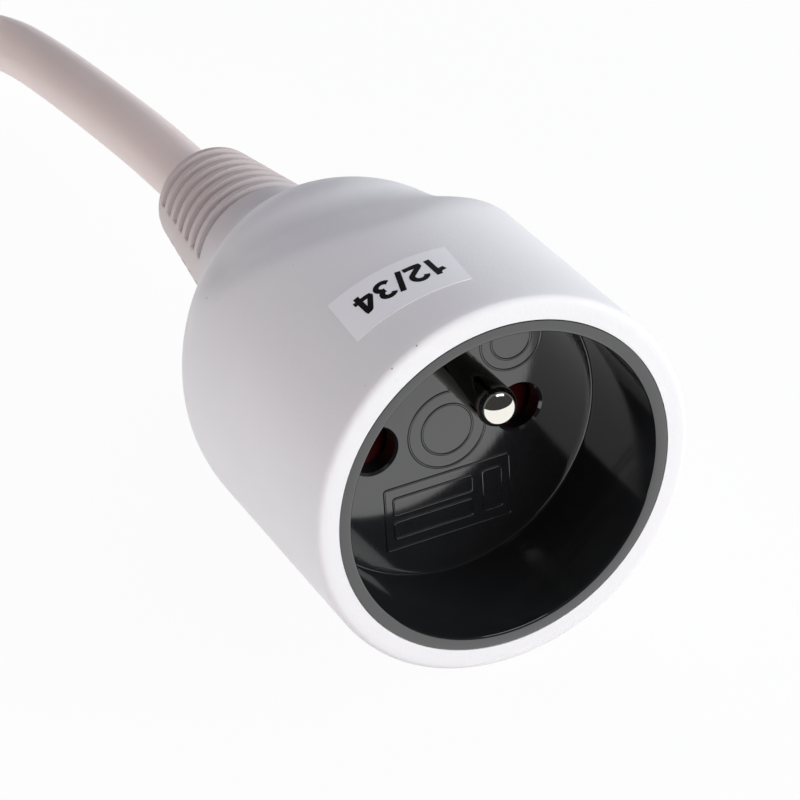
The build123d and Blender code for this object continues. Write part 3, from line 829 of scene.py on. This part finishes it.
class LEAD_OT_inner_works(bpy.types.Operator):
    """Finishes the shutter, spring, contacts, cores and the plug's parts"""
    bl_idname = "lead.inner_works"
    bl_label = "Inner works and plug"

    def execute(self, context):
        tone = context.scene.lead_colours.shutter
        red = plastic("shutter_red", tone, scaled(tone, 0.8), roughness=0.35)
        black = plastic("carrier_black", (0.012, 0.012, 0.013), (0.02, 0.02, 0.021), roughness=0.4)
        brass = streaked("contact_brass", (0.78, 0.56, 0.25), (0.66, 0.46, 0.2),
                         (1500.0, 150.0, 1500.0), roughness=0.28, spread=0.15, depth=0.000004,
                         metallic=1.0)
        steel = streaked("spring_steel", (0.6, 0.6, 0.61), (0.5, 0.5, 0.51),
                         (900.0, 900.0, 900.0), roughness=0.3, spread=0.15, depth=0.000004,
                         metallic=1.0)
        brown = plastic("core_brown", (0.13, 0.055, 0.025), (0.1, 0.045, 0.02), roughness=0.4)
        blue = plastic("core_blue", (0.03, 0.12, 0.46), (0.025, 0.1, 0.4), roughness=0.4)
        green = plastic("core_green", (0.22, 0.45, 0.05), (0.5, 0.55, 0.03), roughness=0.4, drift=600.0)
        hard = plastic("plug_hard_white", (0.76, 0.75, 0.74), (0.71, 0.7, 0.69), roughness=0.34)
        plate = nickel_material()
        finishes = {"shutter": red, "contact_carrier": black, "line_contact": brass,
                    "neutral_contact": brass, "shutter_spring": steel, "line_core": brown,
                    "neutral_core": blue, "earth_core": green, "plug_body": shell_material(),
                    "plug_insert": hard, "plug_line_pin": plate, "plug_neutral_pin": plate,
                    "plug_earth_strap": plate, "plug_line_core": brown, "plug_neutral_core": blue,
                    "plug_earth_core": green}
        for name, material in finishes.items():
            dress(name, material)
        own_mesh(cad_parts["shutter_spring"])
        return {"FINISHED"}


class LEAD_OT_cord(bpy.types.Operator):
    """Lays the cord, its hank and the tie"""
    bl_idname = "lead.cord"
    bl_label = "Cord and tie"

    def execute(self, context):
        sizes = context.scene.lead_cord
        curve = bpy.data.curves.new("cord_sheath", "CURVE")
        curve.dimensions = "3D"
        curve.bevel_depth = sizes.diameter / 2
        curve.bevel_resolution = 8
        curve.resolution_u = 10
        curve.use_fill_caps = True
        route = self.route(sizes.diameter / MM / 2, sizes.pitch / MM)
        spline = curve.splines.new("NURBS")
        spline.points.add(len(route) - 1)
        for point, place in zip(spline.points, route):
            point.co = (place[0] * MM, place[1] * MM, place[2] * MM, 1)
        spline.order_u = 3
        spline.use_endpoint_u = True
        spline.use_smooth = True
        curve.materials.append(sheath_material())
        piece = bpy.data.objects.new("cord_sheath", curve)
        context.scene.collection.objects.link(piece)
        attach(piece, "lead")
        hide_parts("cord", "cord_hank", "cord_tail")
        strap = streaked("tie_black", (0.02, 0.02, 0.021), (0.03, 0.03, 0.032), (300.0, 4000.0, 300.0),
                         roughness=0.4, spread=0.2, depth=0.00004)
        dress("hank_tie", strap)
        return {"FINISHED"}

    def route(self, half, pitch):
        """Points of the cord's line, from inside the socket by way of the hank into the plug."""
        hank_x = (hank_low.x + hank_high.x) / 2 / MM
        outer_r = (hank_high.x - hank_low.x) / 2 / MM - half
        inner_r = outer_r - pitch
        near_y = hank_low.y / MM + outer_r + half
        far_y = hank_high.y / MM - outer_r - half
        strand_x = hank_x + outer_r
        plug_x = (plug_low.x + plug_high.x) / 2 / MM
        plug_y = plug_low.y / MM
        plug_z = 16
        tie_low, tie_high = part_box("hank_tie")
        route = [(0, socket_end_y - 15, socket_r), (0, socket_end_y + 10.5, socket_r),
                 (0, socket_end_y + 36, socket_r - 2.1), (0.2, socket_end_y + 62, socket_r - 5.2),
                 (0.8, socket_end_y + 84, socket_r - 9.8), (-0.5, near_y - 20, half + 0.6),
                 (strand_x + 0.3, near_y + 12, half), (strand_x, near_y + 36, half)]
        # Turns of the hank: radius, layer, and the near fold's inset and lift
        turns = ((outer_r, 0, 0, 0), (inner_r, 0, 20, 0), (inner_r, 1, 6, 1.2), (inner_r, 2, 2, 1.2),
                 (outer_r, 1, 8, 2.6))
        for (fold, layer, _, _), (next_fold, next_layer, inset, lift) in zip(turns, turns[1:]):
            height = half + layer * pitch
            next_height = half + next_layer * pitch
            self.fold(route, hank_x, far_y, fold, 0, height)
            route.append((hank_x - fold, far_y - 12, height))
            route.append((hank_x - next_fold, near_y + inset + 12, next_height))
            self.fold(route, hank_x, near_y + inset, next_fold, 180, next_height + lift)
            if lift:
                route.append((hank_x + next_fold, tie_low.y / MM - 2.5, next_height))
                route.append((hank_x + next_fold, tie_high.y / MM + 2, next_height))
        upper = half + pitch
        route += [(strand_x, far_y - 19, upper), (strand_x, far_y + 10, upper),
                  (plug_x, plug_y - 11.5, plug_z), (plug_x, plug_y + 15, plug_z)]
        return route

    @staticmethod
    def fold(route, x, y, radius, start, height):
        """Half turn of the hank as eight points of the cord's own line."""
        count = 8
        step_angle = 180 / count
        reach = radius / math.cos(math.radians(step_angle / 2))
        for step in range(count):
            angle = math.radians(start + step_angle / 2 + step_angle * step)
            route.append((x + reach * math.cos(angle), y + reach * math.sin(angle), height))


# Stage: lamps as (name, place, size, power, tint, seen in reflections), all aimed at one place
lamps = (("front_right_lamp", (0.677, -0.677, 0.29), 0.7, 10.0, (0.94, 1.0, 1.0), False),
         ("left_lamp", (-0.98, -0.03, 0.17), 0.4, 5.0, (1.0, 0.97, 0.98), False),
         ("front_lamp", (0.0, -0.977, 0.215), 0.7, 2.9, (1.0, 0.88, 0.86), False),
         ("rear_lamp", (0.656, 0.656, 0.375), 0.7, 1.5, (0.9, 0.9, 1.0), True),
         ("top_lamp", (0.34, 0.0, 0.94), 0.7, 3.1, (0.86, 0.88, 1.0), True))
lamp_target = (0, -0.01, 0.025)
sky_light = 0.04
floor_white = 0.95
floor_reach = 4
floor_drop = 0.0002


class LEAD_OT_stage(bpy.types.Operator):
    """Sets the floor, lamps, world and camera"""
    bl_idname = "lead.stage"
    bl_label = "Stage"

    def execute(self, context):
        scene = context.scene
        scene.view_settings.view_transform = "Standard"
        self.floor(scene)
        self.world(scene)
        for lamp in lamps:
            self.lamp(scene, *lamp)
        self.camera(scene)
        return {"FINISHED"}

    @staticmethod
    def floor(scene):
        """Pale floor that keeps the shadow and is near white to the camera and in reflections."""
        mesh = bpy.data.meshes.new("floor")
        sides = ((-1, -1), (1, -1), (1, 1), (-1, 1))
        corners = [(floor_reach * x, floor_reach * y, 0) for x, y in sides]
        mesh.from_pydata(corners, [], [(0, 1, 2, 3)])
        material, tree, shader = bare_material("floor_white")
        shader.inputs["Base Color"].default_value = (0.9, 0.9, 0.9, 1)
        shader.inputs["Roughness"].default_value = 0.9
        shader.inputs["Specular IOR Level"].default_value = 0.0
        glow = add_node(tree, "ShaderNodeEmission", None, {"Strength": 1.0})
        path = add_node(tree, "ShaderNodeLightPath")
        plain = add_node(tree, "ShaderNodeMath", {"operation": "MAXIMUM"})
        clear = add_node(tree, "ShaderNodeMath", {"operation": "MAXIMUM"})
        share = add_node(tree, "ShaderNodeMath", {"operation": "MULTIPLY"}, {1: floor_white})
        mix = add_node(tree, "ShaderNodeMixShader")
        link = tree.links.new
        link(path.outputs["Is Camera Ray"], plain.inputs[0])
        link(path.outputs["Is Glossy Ray"], plain.inputs[1])
        link(plain.outputs[0], clear.inputs[0])
        link(path.outputs["Is Transmission Ray"], clear.inputs[1])
        link(clear.outputs[0], share.inputs[0])
        link(share.outputs[0], mix.inputs["Fac"])
        link(shader.outputs[0], mix.inputs[1])
        link(glow.outputs[0], mix.inputs[2])
        link(mix.outputs[0], tree.nodes["Material Output"].inputs["Surface"])
        mesh.materials.append(material)
        floor = bpy.data.objects.new("floor", mesh)
        floor.location.z = -floor_drop
        scene.collection.objects.link(floor)

    @staticmethod
    def world(scene):
        """Faint even light from all round."""
        world = bpy.data.worlds.new("studio")
        scene.world = world
        world.use_nodes = True
        back = world.node_tree.nodes["Background"]
        back.inputs["Color"].default_value = (1.0, 1.0, 1.0, 1)
        back.inputs["Strength"].default_value = sky_light

    @staticmethod
    def lamp(scene, name, place, size, power, tint, mirrored):
        """Square soft lamp aimed at the socket."""
        data = bpy.data.lights.new(name, "AREA")
        data.color = tint
        data.shape = "SQUARE"
        data.size = size
        data.energy = power
        lamp = bpy.data.objects.new(name, data)
        lamp.location = place
        lamp.visible_glossy = mirrored
        aim = Vector(lamp_target) - Vector(place)
        lamp.rotation_euler = aim.to_track_quat("-Z", "Y").to_euler()
        scene.collection.objects.link(lamp)

    @staticmethod
    def camera(scene):
        """Camera at the photograph's viewing angle."""
        data = bpy.data.cameras.new("photo_camera")
        data.sensor_width = 36
        data.lens = 144
        data.clip_start = 0.01
        camera = bpy.data.objects.new("photo_camera", data)
        right = Vector((0.89246548, -0.44778763, -0.05469558))
        down = Vector((-0.27342882, -0.44051222, -0.85509395))
        ahead = Vector((0.35880642, 0.77809718, -0.51557999))
        turn = Matrix((right, -down, -ahead)).transposed().to_4x4()
        camera.matrix_world = Matrix.Translation((-0.137752, mouth_y * MM - 0.271368, 0.219325)) @ turn
        scene.collection.objects.link(camera)
        scene.camera = camera


class LEAD_PT_panel(bpy.types.Panel):
    """Lists the lead's pieces and their sizes"""
    bl_idname = "LEAD_PT_panel"
    bl_label = "Extension lead"
    bl_space_type = "VIEW_3D"
    bl_region_type = "UI"
    bl_category = "Lead"

    def draw(self, context):
        layout = self.layout
        for operator in operators:
            layout.operator(operator.bl_idname)
        for group in ("lead_socket", "lead_cup", "lead_cord", "lead_colours"):
            settings = getattr(context.scene, group)
            box = layout.box()
            for name in settings.__annotations__:
                box.prop(settings, name)


operators = (LEAD_OT_shell, LEAD_OT_cup, LEAD_OT_marks, LEAD_OT_earth_pin, LEAD_OT_label,
             LEAD_OT_inner_works, LEAD_OT_cord, LEAD_OT_stage)
settings_groups = {"lead_socket": SocketSizes, "lead_cup": CupSizes, "lead_cord": CordSizes,
                   "lead_colours": LeadColours}


def register():
    for group in settings_groups.values():
        bpy.utils.register_class(group)
    for operator in operators:
        bpy.utils.register_class(operator)
    bpy.utils.register_class(LEAD_PT_panel)
    for name, group in settings_groups.items():
        setattr(bpy.types.Scene, name, PointerProperty(type=group))


def unregister():
    for name in settings_groups:
        delattr(bpy.types.Scene, name)
    bpy.utils.unregister_class(LEAD_PT_panel)
    for operator in reversed(operators):
        bpy.utils.unregister_class(operator)
    for group in reversed(list(settings_groups.values())):
        bpy.utils.unregister_class(group)


def main():
    register()
    bpy.ops.lead.shell()
    bpy.ops.lead.cup()
    bpy.ops.lead.marks()
    bpy.ops.lead.earth_pin()
    bpy.ops.lead.label()
    bpy.ops.lead.inner_works()
    bpy.ops.lead.cord()
    bpy.ops.lead.stage()


if __name__ == "__main__":
    main()
